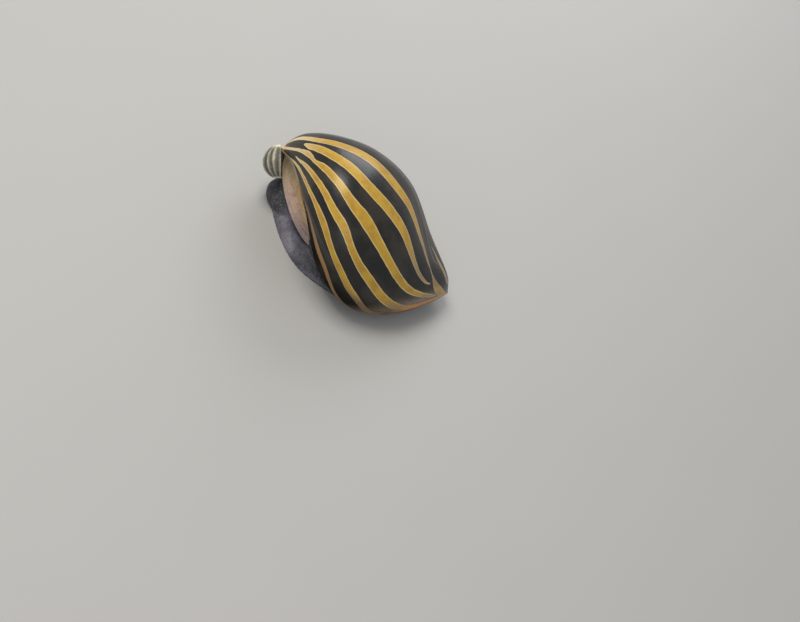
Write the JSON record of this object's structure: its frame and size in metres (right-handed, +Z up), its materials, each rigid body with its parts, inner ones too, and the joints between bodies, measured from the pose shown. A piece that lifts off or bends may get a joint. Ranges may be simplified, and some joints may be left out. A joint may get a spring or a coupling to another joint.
{
  "type": "nerite snail",
  "caption": "Life-size still model of a crawling zebra nerite snail: a low rounded striped shell with a small worn spire, over a dark foot, head and feelers.",
  "frame": {"origin": "on the flat of the foot's sole, under the middle of the animal", "axes": "+Z up off the sole; the head points to -Y and the animal's right side to -X"},
  "size_m": [0.0201, 0.0246, 0.0133],
  "materials": {
    "striped_shell": "gloss",
    "eroded_shell": "matte",
    "shell_enamel": "gloss",
    "operculum_horn": "satin",
    "speckled_skin": "wet",
    "dark_skin": "wet",
    "eye_black": "gloss"
  },
  "bodies": {
    "root": {"shell_body_whorl": "striped_shell", "shell_spire": "eroded_shell", "columellar_deck": "shell_enamel", "operculum": "operculum_horn", "foot": "speckled_skin", "mantle": "dark_skin", "head": "dark_skin", "snout": "dark_skin", "tentacle_right_base": "dark_skin", "tentacle_right_middle": "dark_skin", "tentacle_right_tip": "dark_skin", "eyestalk_right": "dark_skin", "eye_right": "eye_black", "tentacle_left_base": "dark_skin", "tentacle_left_middle": "dark_skin", "tentacle_left_tip": "dark_skin", "eyestalk_left": "dark_skin", "eye_left": "eye_black"}
  },
  "joints": []
}
